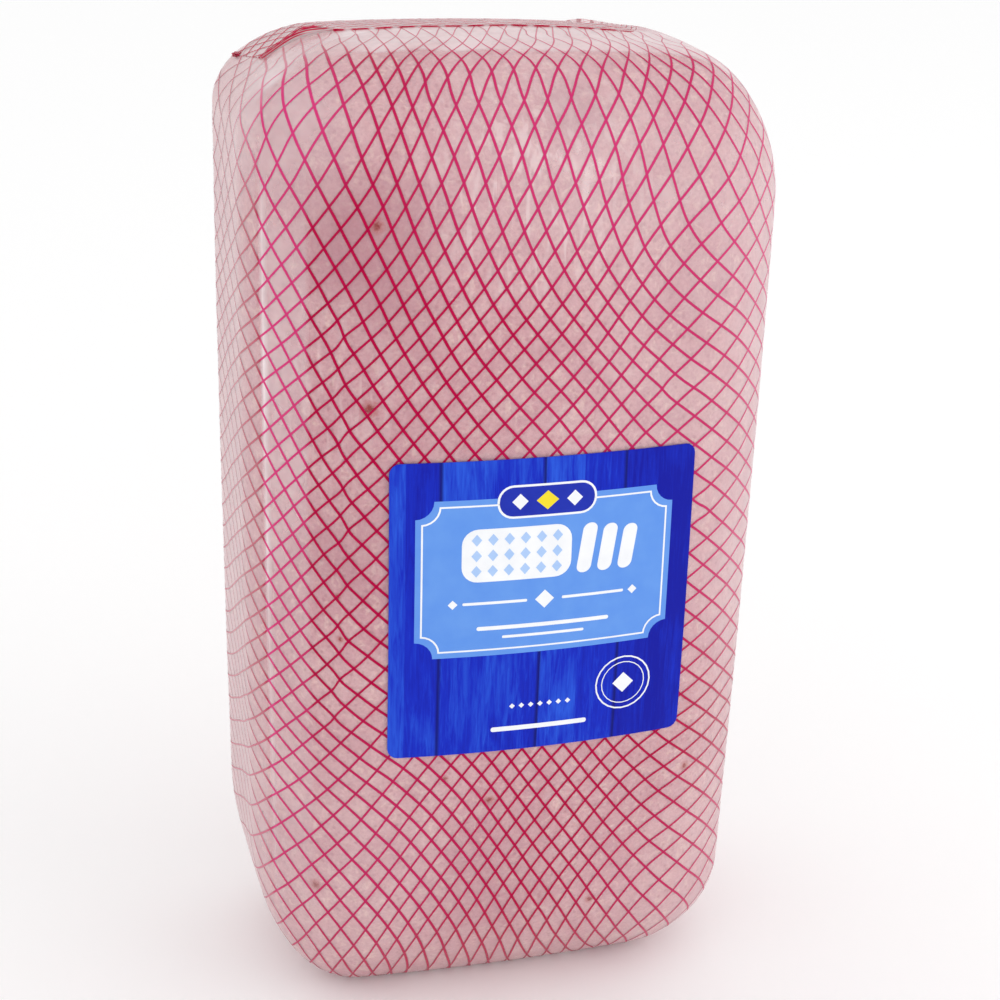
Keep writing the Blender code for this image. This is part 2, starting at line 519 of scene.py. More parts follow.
def printNet(piece):
    points = readPoints(piece)
    quads = readCorners(piece).reshape(-1, 4)  # the skin is all quads
    result = []
    for counts, widths in zip(countMeshes(points), lineWidths(points)):
        onFaces = closeRing(counts[quads], netForm["meshesRound"])
        # slope of the count on each face, in meshes for each metre
        first = points[quads[:, 2]] - points[quads[:, 0]]
        second = points[quads[:, 3]] - points[quads[:, 1]]
        riseFirst = onFaces[:, 2] - onFaces[:, 0]
        riseSecond = onFaces[:, 3] - onFaces[:, 1]
        ff = np.einsum("ij,ij->i", first, first)
        ss = np.einsum("ij,ij->i", second, second)
        fs = np.einsum("ij,ij->i", first, second)
        area = np.maximum(ff * ss - fs ** 2, netForm["leastArea"])
        steep = riseFirst ** 2 * ss - 2 * riseFirst * riseSecond * fs + riseSecond ** 2 * ff
        steep = np.sqrt(np.maximum(steep / area, 0))
        torn = steep > netForm["tornSlope"]  # at the seam over each end, so no line
        total = np.zeros(len(points))
        share = np.zeros(len(points))
        for corner in range(4):
            np.add.at(total, quads[:, corner], np.where(torn, 0, steep))
            np.add.at(share, quads[:, corner], np.where(torn, 0, 1))
        slope = total / np.maximum(share, 1)
        half = (widths * slope / 2)[quads]
        half = np.where(torn[:, None], 0, half)
        result.append((onFaces.ravel(), half.ravel()))
    (rising, halfRising), (falling, halfFalling) = result
    writeNet(piece, rising, falling, halfRising, halfFalling)
    around, up, ringLength = ringPlace(points)
    around = closeRing(around[quads], ringLength).ravel() * millimetre
    writeMap(piece, "filmPlace", around, up[quads].ravel() * millimetre)


def addNetMask(tree):
    # the shares of printed line and of two lines that cross, read from the
    # piece's own maps
    counts, halves = [
        addNode(tree, "SeparateXYZ", {0: addNode(tree, "UVMap", {}, uv_map=name)})
        for name in ("netCount", "netLine")
    ]
    lines = []
    for axis in ("X", "Y"):
        away = addNode(tree, "Math", {0: counts.outputs[axis], 1: 0.5}, operation="PINGPONG")
        half = addNode(
            tree, "Math", {0: halves.outputs[axis], 1: netForm["leastHalf"]}, operation="MAXIMUM",
        )
        lines.append(addNode(tree, "MapRange", {
            "Value": addNode(tree, "Math", {0: away, 1: half}, operation="DIVIDE"),
            **span(*netForm["lineEdge"]),
        }, interpolation_type="SMOOTHSTEP"))
    return [
        addNode(tree, "Math", {0: lines[0], 1: lines[1]}, operation=operation)
        for operation in ("MAXIMUM", "MULTIPLY")
    ]


hamForm = {
    "inset": 0.00012,
    "lumpDepth": 0.00010,
    "lumpSize": 0.022,
    "lumpOffset": (5.0, 2.0, 8.0),
    "meat": ((0.30, "CA98A1"), (0.50, "D8ADB2"), (0.70, "E2C1C1")),
    "muscleShare": 0.55,
    # patterns: size in metres, detail, roughness and distortion
    "patterns": {
        "patch": (0.034, 3.0, 0.6, 0.6),
        "muscle": (0.010, 6.0, 0.7, 1.0),
        "grain": (0.0011, 3.0, 0.7, 0.0),
        "fat": (0.0042, 4.0, 0.6, 1.5),
        "streak": (0.0028, 2.0, 0.5, 0.5),
    },
    "poreSize": 0.0030,
    "streakDraw": 0.14,  # streaks are drawn out upwards
    # what shows as a pattern passes from one value to another, and how much
    "flecks": (
        ("fat", (0.52, 0.68, 0, 0.62), "SMOOTHSTEP", "EBD0C8"),
        ("pore", (0.30, 0.08, 0, 0.40), "SMOOTHSTEP", "AD757E"),
        ("grain", (0.62, 0.35, 0, 0.34), "LINEAR", "AD757E"),
    ),
    "sheenStreakSpan": (0.50, 0.66, 0),
    "sheenStreakTint": "EEDBDA",
    "darkTint": "B47F8A",
    "core": 0.2,  # share of a place's radius where its tint is full
    # upright pale streaks of painted highlight, the film's sheen painted into the meat's colour:
    # place, radius and strength
    "sheenStreakPlaces": (
        ((-0.0020, -0.0490, 0.2760), 0.050, 0.60),
        ((-0.0640, -0.0440, 0.2200), 0.040, 0.35),
    ),
    # darker places in the meat's colour: place, radius and strength
    "darkPlaces": (
        ((-0.0500, -0.0500, 0.2620), 0.032, 0.62),
        ((0.0107, -0.0414, 0.2963), 0.015, 0.45),
        ((-0.0425, -0.0524, 0.2367), 0.020, 0.35),
        ((-0.0567, -0.0506, 0.1668), 0.024, 0.26),
        ((-0.0350, -0.0540, 0.1950), 0.045, 0.22),
        ((-0.0100, -0.0540, 0.0480), 0.035, 0.30),
    ),
    # brown spots: place and radius
    "spots": (
        ((-0.0487, -0.0503, 0.2667), 0.0017),
        ((-0.0512, -0.0520, 0.2137), 0.0020),
        ((-0.0129, -0.0537, 0.0823), 0.0013),
        ((-0.0275, -0.0536, 0.0915), 0.0010),
        ((-0.0667, -0.0418, 0.0519), 0.0016),
        ((0.0238, -0.0492, 0.0378), 0.0013),
        ((0.0545, -0.0491, 0.0838), 0.0013),
        ((-0.0596, -0.0490, 0.1406), 0.0009),
        ((-0.0603, -0.0487, 0.1545), 0.0009),
    ),
    # a halo and a darker middle: reach in radii, strength and colour
    "spotTints": ((2.0, 0.55, "B05450"), (0.95, 0.85, "8A1A16")),
    "spotCore": 0.3,
    "spotRagged": 1.5,
    "bump": {"Strength": 0.25, "Distance": 0.0006},
    "surface": {
        "Roughness": 0.5, "IOR": 1.4, "Specular IOR Level": 0.1, "Subsurface Weight": 0.2,
        "Subsurface Radius": (1.0, 0.45, 0.35), "Subsurface Scale": 0.002,
    },
}


def addNear(tree, place, centre, radius, core, strength):
    # a share that falls off round a place, from full inside its core
    away = addNode(tree, "VectorMath", {0: place, 1: centre}, operation="DISTANCE")
    return addNode(
        tree, "MapRange", {"Value": away, **span(radius, radius * core, 0, strength)},
        interpolation_type="SMOOTHSTEP",
    )


def hamMaterial():
    # Cooked pressed ham: minced and whole muscle set in a mould, moist.
    # The eye gets soft mottling of lean meat, cream flecks of fat, fine
    # pores and a few brown specks.
    material, tree, place = newMaterial("Pressed cooked ham")
    drawn = addNode(tree, "Mapping", {0: place, "Scale": (1, 1, hamForm["streakDraw"])})
    patterns = {}
    for name, (size, detail, roughness, distortion) in hamForm["patterns"].items():
        patterns[name] = addNode(tree, "TexNoise", {
            "Vector": drawn if name == "streak" else place, "Scale": 1 / size,
            "Detail": detail, "Roughness": roughness, "Distortion": distortion,
        })
    patterns["pore"] = addNode(
        tree, "TexVoronoi", {"Vector": place, "Scale": 1 / hamForm["poreSize"]},
    )
    patches, muscles = [
        setRamp(addNode(tree, "ValToRGB", {0: patterns[name]}), hamForm["meat"])
        for name in ("patch", "muscle")
    ]
    meat = addNode(
        tree, "Mix", {"Factor": hamForm["muscleShare"], "A": patches, "B": muscles},
        data_type="RGBA",
    )
    tints = []
    flecks = list(hamForm["flecks"])
    # painted highlight: pale upright streaks of the film's sheen, painted into the meat
    for centre, radius, strength in hamForm["sheenStreakPlaces"]:
        near = addNear(tree, place, centre, radius, hamForm["core"], strength)
        bounds = (*hamForm["sheenStreakSpan"], near)
        flecks.append(("streak", bounds, "SMOOTHSTEP", hamForm["sheenStreakTint"]))
    for name, bounds, curve, hexCode in flecks:
        share = addNode(
            tree, "MapRange", {"Value": patterns[name], **span(*bounds)},
            interpolation_type=curve,
        )
        tints.append((share, hexCode))
    for centre, radius, strength in hamForm["darkPlaces"]:
        near = addNear(tree, place, centre, radius, hamForm["core"], strength)
        tints.append((near, hamForm["darkTint"]))
    ragged = addNode(
        tree, "VectorMath", {0: patterns["grain"].outputs["Color"], 1: (0.5, 0.5, 0.5)},
        operation="SUBTRACT",
    )
    for centre, radius in hamForm["spots"]:
        moved = addNode(
            tree, "VectorMath", {0: ragged, 1: (radius * hamForm["spotRagged"],) * 3, 2: place},
            operation="MULTIPLY_ADD",
        )
        for reach, strength, hexCode in hamForm["spotTints"]:
            near = addNear(tree, moved, centre, radius * reach, hamForm["spotCore"], strength)
            tints.append((near, hexCode))
    height = addNode(
        tree, "Math", {0: patterns["muscle"], 1: patterns["grain"]}, operation="ADD",
    )
    shader = addNode(tree, "BsdfPrincipled", {
        "Base Color": layTints(tree, meat, tints),
        "Normal": addNode(tree, "Bump", {"Height": height, **hamForm["bump"]}),
        **hamForm["surface"],
    })
    addNode(tree, "OutputMaterial", {"Surface": shader})
    return material


filmForm = {
    "milk": 0.03,
    "ink": "C00A4C",
    "inkDeep": "AA003A",
    "inkHighlit": "D83C7C",
    "inkHighlightGain": 3.5,  # painted highlight on the ink, for each share of painted sheen
    "inkSize": 0.006,
    # the film's own milky haze, also the colour of the painted sheen
    "milkAndSheen": "FDEDEF",
    "clear": (0.99, 0.98, 0.98, 1),
    "roughness": 0.2,
    "shine": 0.40,
    "shineLeast": 0.004,
    # places painted paler, partly paler meat and partly painted sheen and painted light where the
    # lamps fall brighter: place, radius and share
    "paleAndSheenPlaces": (
        ((0.078, -0.035, 0.262), 0.090, 0.26),
        ((0.082, -0.035, 0.165), 0.080, 0.20),
        ((0.000, -0.046, 0.288), 0.060, 0.20),
        ((-0.072, -0.034, 0.294), 0.034, 0.32),
        ((0.070, -0.035, 0.040), 0.070, 0.12),
        ((-0.062, -0.042, 0.065), 0.070, 0.12),
        ((0.022, -0.057, 0.205), 0.050, 0.10),
    ),
    "sheenCore": 0.1,
    # shares that change along one measure: name, measure, from, to, least and
    # most, which may be an earlier share
    "paintedSheenRanges": (
        # painted sheen over the top's back part, the film's grazing reflection
        ("topSheenFront", "ragged", -0.0236, -0.0212, 0, 1),
        ("topSheenLow", "Z", 0.295, 0.304, 0, 0.46),
        ("topSheenLeft", "X", -0.054, -0.046, 0.42, 1),
        ("topSheenBack", "Y", 0.036, 0.020, 0, "topSheenLeft"),
        # painted highlight along the left front edge
        ("stripLow", "up", -0.150, 0.060, 0.1, 1),
        ("stripHigh", "up", 0.130, 0.100, 0, 1),
        # painted reflection of the bright surroundings on the left side, fading out towards the
        # back
        ("sideBack", "around", -0.170, -0.110, 0, 0.15),
        ("side", "around", -0.0815, -0.0850, 0, "sideBack"),
    ),
    # the painted highlight along the left front edge, the painted sheen over the top's back part
    # and the painted reflection on the left side are products of shares
    "paintedSheenParts": (
        ("strip", "stripLow", "stripHigh"),
        ("topSheenFront", "topSheenLow", "topSheenBack"),
        ("side",),
    ),
    "inkSheenFades": (0.0, 0.26087, 1.06667),  # fading of the ink into the painted sheen and painted reflection, for each share of a part
    # across the painted highlight on the left front edge: a bright ridge, then a paler band as far
    # as a crease, in metres round the loaf
    "stripSpan": (-0.090, -0.060),
    "strip": ((0.25, 0.0), (0.30, 0.80), (0.37, 0.30), (0.76, 0.22), (0.81, 0.0)),
    "unevenSize": 0.012,
    "unevenEdge": 0.004,
    "unevenSpan": (0.3, 0.7, 0.75, 1.25),
    "wrinkleSize": 0.008,
    "wrinkleBump": {"Strength": 0.3, "Distance": 0.0005},
    "dentDepth": 0.00025,
    "dentSize": 0.030,
    "dentOffset": (1.7, 4.2, 0.9),
    "dentHeights": (0.001, 0.005),  # none below the first, so the base is flat
}


def addPaintedSheen(tree, place):
    # share of the painted sheen and painted light laid over the meat as a pale veil, the part of
    # it that paints the ink paler, and the share by which the ink fades into the painted
    # reflection
    uneven = addNode(
        tree, "TexNoise", {"Vector": place, "Scale": 1 / filmForm["unevenSize"], "Detail": 3.0},
    )
    parts = addNode(tree, "SeparateXYZ", {0: place})
    onFilm = addNode(tree, "SeparateXYZ", {0: addNode(tree, "UVMap", {}, uv_map="filmPlace")})
    measures = {axis: parts.outputs[axis] for axis in "XYZ"}
    measures.update(around=onFilm.outputs["X"], up=onFilm.outputs["Y"])
    measures["ragged"] = addNode(
        tree, "Math", {0: uneven, 1: filmForm["unevenEdge"], 2: measures["Y"]},
        operation="MULTIPLY_ADD",
    )
    shares = {}
    for name, measure, start, end, least, most in filmForm["paintedSheenRanges"]:
        most = shares.get(most, most)
        shares[name] = addNode(
            tree, "MapRange", {"Value": measures[measure], **span(start, end, least, most)},
            interpolation_type="SMOOTHSTEP",
        )
    # painted highlight along the left front edge: a bright ridge and a paler band
    over = addNode(
        tree, "MapRange", {"Value": measures["around"], **span(*filmForm["stripSpan"])},
    )
    shares["strip"] = setRamp(addNode(tree, "ValToRGB", {0: over}), filmForm["strip"])
    milkAndSheen = 0.0
    # paler places: partly paler meat, partly painted sheen and painted light
    for centre, radius, strength in filmForm["paleAndSheenPlaces"]:
        near = addNear(tree, place, centre, radius, filmForm["sheenCore"], strength)
        milkAndSheen = addNode(tree, "Math", {0: milkAndSheen, 1: near}, operation="ADD")
    sheenFade = 0.0
    sums = []
    for factors, gain in zip(filmForm["paintedSheenParts"], filmForm["inkSheenFades"]):
        part = 1.0
        for factor in factors:
            part = addNode(tree, "Math", {0: part, 1: shares[factor]}, operation="MULTIPLY")
        milkAndSheen = addNode(tree, "Math", {0: milkAndSheen, 1: part}, operation="ADD")
        # the ink fades under the painted sheen and painted reflection
        sheenFade = addNode(tree, "Math", {0: part, 1: gain, 2: sheenFade}, operation="MULTIPLY_ADD")
        sums.append(milkAndSheen)
    varied = addNode(tree, "MapRange", {"Value": uneven, **span(*filmForm["unevenSpan"])})
    milkAndSheen = addNode(tree, "Math", {0: milkAndSheen, 1: varied}, operation="MULTIPLY", use_clamp=True)
    return milkAndSheen, sums[0], sheenFade


def filmMaterial(name, milk, ink, inkDeep, shine, paintsSheen):
    # Clear shrink film of polyethylene, printed with a net in red ink.
    # The eye gets a soft satin shine, faint haze and crisp ink lines.
    material, tree, place = newMaterial(name)
    line, crossing = addNetMask(tree)
    wrinkles = addNode(
        tree, "TexNoise", {"Vector": place, "Scale": 1 / filmForm["wrinkleSize"]},
    )
    bump = addNode(tree, "Bump", {"Height": wrinkles, **filmForm["wrinkleBump"]})
    clear = addNode(tree, "BsdfTransparent", {"Color": filmForm["clear"]})
    milkAndSheenColour = linearColour(filmForm["milkAndSheen"])
    veil = addNode(tree, "BsdfDiffuse", {"Color": milkAndSheenColour})
    surface = addNode(tree, "MixShader", {0: milk, 1: clear, 2: veil})
    uneven = addNode(
        tree, "TexNoise", {"Vector": place, "Scale": 1 / filmForm["inkSize"], "Detail": 1.0},
    )
    tints = [(uneven, ink), (crossing, inkDeep)]
    # painted sheen and painted light: a pale veil over the meat, with paler and fading ink under
    # it
    if paintsSheen:
        milkAndSheen, highlitShare, sheenFade = addPaintedSheen(tree, place)
        # painted highlight: the ink is painted paler under the pale places and the edge highlight
        highlitInk = addNode(
            tree, "Math", {0: highlitShare, 1: filmForm["inkHighlightGain"]}, operation="MULTIPLY",
            use_clamp=True,
        )
        tints += [(highlitInk, filmForm["inkHighlit"]), (sheenFade, filmForm["milkAndSheen"])]
        veil = addNode(tree, "BsdfDiffuse", {"Color": milkAndSheenColour})
        surface = addNode(tree, "MixShader", {0: milkAndSheen, 1: surface, 2: veil})
    printed = addNode(
        tree, "BsdfDiffuse", {"Color": layTints(tree, linearColour(inkDeep), tints)},
    )
    surface = addNode(tree, "MixShader", {0: line, 1: surface, 2: printed})
    # the film's own shine, faint face on and strong at a grazing angle
    facing = addNode(tree, "LayerWeight", {"Blend": 0.5, "Normal": bump}).outputs["Facing"]
    cubed = addNode(tree, "Math", {0: facing, 1: 3.0}, operation="POWER")
    share = addNode(
        tree, "Math", {0: cubed, 1: shine, 2: filmForm["shineLeast"]}, operation="MULTIPLY_ADD",
    )
    gloss = addNode(tree, "BsdfGlossy", {
        "Color": (1, 1, 1, 1), "Roughness": filmForm["roughness"], "Normal": bump,
    })
    surface = addNode(tree, "MixShader", {0: share, 1: surface, 2: gloss})
    addNode(tree, "OutputMaterial", {"Surface": surface})
    return material


film = makeLoafSkin("film")
filmPoints = readPoints(film)
dents = noiseField(filmPoints, filmForm["dentSize"], filmForm["dentOffset"])
dents = filmForm["dentDepth"] * (dents * 0.5 + 0.5)
dentShare = np.interp(filmPoints[:, 2], filmForm["dentHeights"], (0, 1))
filmPoints -= readNormals(film) * (dents * dentShare)[:, None]
writePoints(film, filmPoints)

ham = makeLoafSkin("ham")
writePoints(ham, filmPoints)
hamPoints = readPoints(ham)
lumps = noiseField(hamPoints, hamForm["lumpSize"], hamForm["lumpOffset"]) * 0.5 + 0.5
hamInset = hamForm["inset"] + hamForm["lumpDepth"] * lumps
writePoints(ham, hamPoints - readNormals(ham) * hamInset[:, None])
print("loaf skins made", len(film.data.polygons))

printNet(film)
finishPiece(ham, hamMaterial(), loafForm["smoothAngle"])
clingingFilm = filmMaterial(
    "Printed shrink film", filmForm["milk"], filmForm["ink"], filmForm["inkDeep"],
    filmForm["shine"], True,
)
finishPiece(film, clingingFilm, loafForm["smoothAngle"])
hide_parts("ham_pack")
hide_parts("ham_pack")
film.visible_shadow = False  # clinging film throws no shadow on the meat
filmTree = treeOf(film)
print("net printed")


foldForm = {
    "leftFront": -0.0712,
    "leftBack": -0.0758,
    "right": 0.0560,
    "front": -0.0025,
    "back": 0.0280,
    "sink": 0.0003,
    "cells": (100, 28, 3),
    "crowd": 1.7,  # cells crowd towards the front rim
    "rimHit": 1e-4,  # share of the fold that still counts as its rim
    "wave": 0.0006,
    # waves of the front rim: strength, length and start
    "waves": ((1.0, 0.0095, 0.0), (0.5, 0.0041, 1.3)),
    # creases along the fold, which wander: strength, number, wander, its
    # length and start, and slant
    "creases": ((1.0, 17, 2.2, 0.021, 0.0, 0.013), (0.5, 39, 1.7, 0.009, 1.0, 0.031)),
    "creaseRise": (0.88, 0.08),  # rise between creases, and gain on them
    "flat": 0.00014,
    "rim": 0.00045,
    "rimReach": 0.0015,
    # gathered roll along the left part of the rim
    "rollStart": -0.049,
    "rollFade": 0.010,
    "rollRise": 0.0009,
    "rollPlace": 0.0017,
    "rollReach": 0.0015,
    # the roll is highest where it meets the straight rim
    "humpPlace": -0.0568,
    "humpWide": (0.009, 0.0055),  # left, right
    "humpRise": 0.0017,
    "humpReach": 0.0045,
    "humpBack": 0.0022,
    "knotPlace": 0.0350,
    "knotWide": (0.003, 0.009),  # left, right
    "knotRise": 0.0010,
    "knotReach": 0.005,
    # the rim runs back to nothing at the right end
    "taperStart": 0.041,
    "taperLength": 0.015,
    "taperBack": 0.024,
    "taperLoss": 0.8,
    "taperLossStart": 0.033,
    # the print: sizes of the meshes, and strands gathered in the roll
    "meshLong": 0.0095,
    "meshWide": 0.0046,
    "leftMeshLong": 0.0055,
    "leftMeshWide": 0.0085,
    "lineWidth": 0.56,
    "gatherStart": -0.045,
    "gatherFade": 0.012,
    "gatherThin": 0.25,
    "strands": 2.4,
    # on the rims: strands on the roll, dashes right of it and a bare hump
    "strandStep": 0.00066,
    "strandWave": (0.5, 0.003),
    "strandHalf": 0.37,
    "humpBare": 0.5,
    "bareFade": 0.2,
    "dashLength": 0.0070,
    "dashHalf": 0.36,
    "dashFade": 0.01,
    "leftDashLength": 0.0031,
    "milk": 0.28,
    "ink": "CE1048",
    "inkDeep": "A80634",
    "shine": 0.18,
}


def foldRise(across, inward):
    # height over the film, by the place across and the way in from the rim
    rise = blend(foldForm["flat"], foldForm["rim"], np.exp(-inward / foldForm["rimReach"]))
    rolled = smoothShare(across, foldForm["rollStart"], -foldForm["rollFade"])
    ridge = np.exp(-((inward - foldForm["rollPlace"]) / foldForm["rollReach"]) ** 2)
    rise += foldForm["rollRise"] * rolled * ridge
    hump = moundShare(across, foldForm["humpPlace"], foldForm["humpWide"])
    rise += foldForm["humpRise"] * hump * np.exp(-(inward / foldForm["humpReach"]) ** 2)
    thin = smoothShare(across, foldForm["taperLossStart"], foldForm["taperLength"])
    rise *= 1 - foldForm["taperLoss"] * thin
    knot = moundShare(across, foldForm["knotPlace"], foldForm["knotWide"])
    return rise + foldForm["knotRise"] * knot * (1 - np.exp(-inward / foldForm["knotReach"]))


def layOnFilm(across, deep, height):
    # a point over the film, at a height along the film's own normal
    over = Vector((across + loafForm["centred"][0], deep + loafForm["centred"][1], farOut))
    skin, outward = filmTree.ray_cast(over, Vector((0, 0, -1)))[:2]
    return skin + outward * height


def makeFold():
    fold = addCutBlock("folded_film_end", foldForm["cells"])
    unit = readPoints(fold)
    along = (unit[:, 0] + 1) / 2
    back = ((unit[:, 1] + 1) / 2) ** foldForm["crowd"]
    leftEnd = blend(foldForm["leftFront"], foldForm["leftBack"], back)
    across = blend(leftEnd, foldForm["right"], along)
    hump = moundShare(across, foldForm["humpPlace"], foldForm["humpWide"])
    wave = sum(
        strength * np.sin(across / length + start)
        for strength, length, start in foldForm["waves"]
    )
    retreat = smoothShare(across, foldForm["taperStart"], foldForm["taperLength"])
    front = foldForm["front"] + foldForm["wave"] * wave + foldForm["taperBack"] * retreat
    front += foldForm["humpBack"] * hump
    inward = (foldForm["back"] - front) * back
    crease = sum(
        strength * np.sin(
            back * number + wander * np.sin(across / length + start) + across / slant
        )
        for strength, number, wander, length, start, slant in foldForm["creases"]
    )
    between, gain = foldForm["creaseRise"]
    rise = foldRise(across, inward) * (between + gain * crease)
    heights = blend(-foldForm["sink"], rise, (unit[:, 2] + 1) / 2)
    writePoints(fold, np.array([
        layOnFilm(x, y, height) for x, y, height in zip(across, front + inward, heights)
    ]))
    # on top, the print's meshes are drawn out along the fold and gathered
    # into strands at the roll
    corners = readCorners(fold)
    x, into, high = across[corners], inward[corners], heights[corners]
    rolled = smoothShare(x, foldForm["gatherStart"], -foldForm["gatherFade"])
    gathered = foldForm["strands"] * rolled
    crowding = np.exp(-into / foldForm["rollReach"])
    perWide = blend(1 / foldForm["meshWide"], 1 / foldForm["leftMeshWide"], rolled)
    wide = into * perWide + gathered * (1 - crowding)
    steep = perWide + gathered * crowding / foldForm["rollReach"]
    perLong = 1 / foldForm["leftMeshLong"] - 1 / foldForm["meshLong"]
    long = x / foldForm["meshLong"] + perLong * np.minimum(x - foldForm["rollStart"], 0)
    falling = long - wide
    perLong = 1 / foldForm["meshLong"] + perLong * (x < foldForm["rollStart"])
    width = foldForm["lineWidth"] * millimetre * (1 - foldForm["gatherThin"] * rolled * crowding)
    half = width / 2 * np.hypot(perLong, steep)
    strength, length = foldForm["strandWave"]
    strand = high / foldForm["strandStep"] + strength * np.sin(x / length)
    inked = high / rise[corners] - foldForm["humpBare"] * hump[corners]
    strandHalf = foldForm["strandHalf"] * rolled * smoothShare(inked, 0, foldForm["bareFade"])
    dashes = (1 - rolled) * (1 - smoothShare(x, foldForm["taperStart"], foldForm["dashFade"]))
    dashes *= 1 - smoothShare(hump[corners], 0, foldForm["humpBare"])
    dashHalf = foldForm["dashHalf"]
    maps = [long + wide, falling, half, half]
    for place, shown in (
        (back, (x / foldForm["dashLength"], strand, dashHalf * dashes, strandHalf)),
        (along, (into / foldForm["leftDashLength"], falling, dashHalf, 0)),
    ):
        onRim = place[corners].reshape(-1, 4).max(axis=1) < foldForm["rimHit"]
        maps = [np.where(np.repeat(onRim, 4), own, flat) for own, flat in zip(shown, maps)]
    writeNet(fold, *maps)
    return fold


bunchForm = {
    "size": (0.0019, 0.0017, 0.0008),
    "place": (0.0012, -0.005, 0.0001),  # from the fold's left back corner
    # puckers: strength, number, twist and start
    "puckers": ((0.16, 7, 3, 0), (0.10, 3, 0, 1)),
    "lines": 3.1,
    "lineWaves": (0.4, 5),
    "crossed": (0.6, 0.3),
    "halves": (0.30, 0.16),
}


def makeBunch():
    # the gathered tip of the film, at the fold's left back corner
    deselectAll()
    bpy.ops.mesh.primitive_uv_sphere_add(segments=36, ring_count=18, radius=1)
    bunch = bpy.context.object
    nameBoth(bunch, "film_end_bunch")
    right, back, up = bunchForm["place"]
    centre = layOnFilm(foldForm["leftBack"] + right, foldForm["back"] + back, up)
    unit = readPoints(bunch)
    turn = np.arctan2(unit[:, 2], unit[:, 0])
    puckers = 1.0
    for strength, number, twist, start in bunchForm["puckers"]:
        puckers = puckers + strength * np.sin(turn * number + twist * unit[:, 1] + start)
    writePoints(bunch, np.array(centre) + unit * np.array(bunchForm["size"]) * puckers[:, None])
    strength, number = bunchForm["lineWaves"]
    count = unit[:, 1] * bunchForm["lines"] + strength * np.sin(turn * number)
    count = count[readCorners(bunch)]
    factor, shift = bunchForm["crossed"]
    halves = [np.full(len(count), half) for half in bunchForm["halves"]]
    writeNet(bunch, count, count * factor + shift, *halves)
    return bunch


foldedFilm = filmMaterial(
    "Folded film end", foldForm["milk"], foldForm["ink"], foldForm["inkDeep"],
    foldForm["shine"], False,
)
for foldPiece in (makeFold(), makeBunch()):
    finishPiece(foldPiece, foldedFilm, loafForm["smoothAngle"])
    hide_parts("ham_pack")
print("folded end made")


labelForm = {
    "centre": (0.00178, 0.14891),
    "size": (0.0951, 0.0966),
    "cells": 12,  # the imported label's own cells, where the print may bend
    "layer": 0.000025,
    "filled": 0.75,  # of a layer is ink
    "blues": ((0.12, "0410A0"), (0.50, "0A28C0"), (0.90, "2558DC")),
    "gap": "02086E",
    # left edge of each printed board, and how light it is
    "boards": (
        (0.00, 0.48), (0.05, 0.26), (0.16, 0.42), (0.33, 0.34),
        (0.49, 0.46), (0.62, 0.30), (0.76, 0.22), (0.87, 0.10),
    ),
    "gapStops": ((-0.009, 0.0), (-0.003, 0.9), (0.003, 0.9), (0.006, 0.0)),
    "boardShift": (0, 3, 7),  # so that each board has its own stretch of grain
    # fine grain and soft clouds: size in metres, drawn out upwards, detail,
    # roughness, distortion and weight
    "patterns": (
        (0.0012, 0.07, 5.0, 0.65, 0.8, 0.80), (0.0142857, 0.35, 4.0, 0.50, 1.0, 0.75),
    ),
    "span": (0.72, 1.48),
    "surface": {"Roughness": 0.3, "IOR": 1.5, "Specular IOR Level": 0.15},
    "coverSize": 0.00714286,
    "cover": (0.3, 0.7),
    "smoothAngle": 30,
}


def labelMaterial():
    # Coated label paper, offset printed with blue stained boards.
    # The eye gets upright grain in several blues and a smooth satin shine.
    material, tree, place = newMaterial("Coated label paper with printed boards")
    parts = addNode(tree, "SeparateXYZ", {0: place})
    left = labelForm["centre"][0] - labelForm["size"][0] / 2
    across = addNode(
        tree, "MapRange", {"Value": parts.outputs["X"], **span(left, left + labelForm["size"][0])},
    )
    tones, gaps = [addNode(tree, "ValToRGB", {0: across}) for ramp in range(2)]
    setRamp(tones, labelForm["boards"]).color_ramp.interpolation = "CONSTANT"
    setRamp(gaps, [
        (edge + offset, dark)
        for edge, tone in labelForm["boards"][2::2] for offset, dark in labelForm["gapStops"]
    ])
    shifted = addNode(
        tree, "VectorMath", {0: tones, 1: labelForm["boardShift"], 2: place},
        operation="MULTIPLY_ADD",
    )
    level = tones
    for size, draw, detail, roughness, distortion, weight in labelForm["patterns"]:
        pattern = addNode(tree, "TexNoise", {
            "Vector": addNode(tree, "Mapping", {0: shifted, "Scale": (1, 1, draw)}),
            "Scale": 1 / size, "Detail": detail, "Roughness": roughness,
            "Distortion": distortion,
        })
        level = addNode(tree, "Math", {0: pattern, 1: weight, 2: level}, operation="MULTIPLY_ADD")
    spread = addNode(tree, "MapRange", {"Value": level, **span(*labelForm["span"])})
    wood = setRamp(addNode(tree, "ValToRGB", {0: spread}), labelForm["blues"])
    shader = addNode(tree, "BsdfPrincipled", {
        "Base Color": layTints(tree, wood, [(gaps, labelForm["gap"])]), **labelForm["surface"],
    })
    addNode(tree, "OutputMaterial", {"Surface": shader})
    return material


def printMaterial(name, hexCode, hexOther):
    # Solid offset ink on coated paper: even, with a trace of uneven cover.
    material, tree, place = newMaterial(name)
    cover = addNode(tree, "TexNoise", {"Vector": place, "Scale": 1 / labelForm["coverSize"]})
    low, high = labelForm["cover"]
    shader = addNode(tree, "BsdfPrincipled", {
        "Base Color": setRamp(
            addNode(tree, "ValToRGB", {0: cover}), ((low, hexCode), (high, hexOther)),
        ),
        **labelForm["surface"],
    })
    addNode(tree, "OutputMaterial", {"Surface": shader})
    return material


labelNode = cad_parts["front_label"]
labelNode.material_slots[0].material = labelMaterial()
labelTree = treeOf(labelNode)


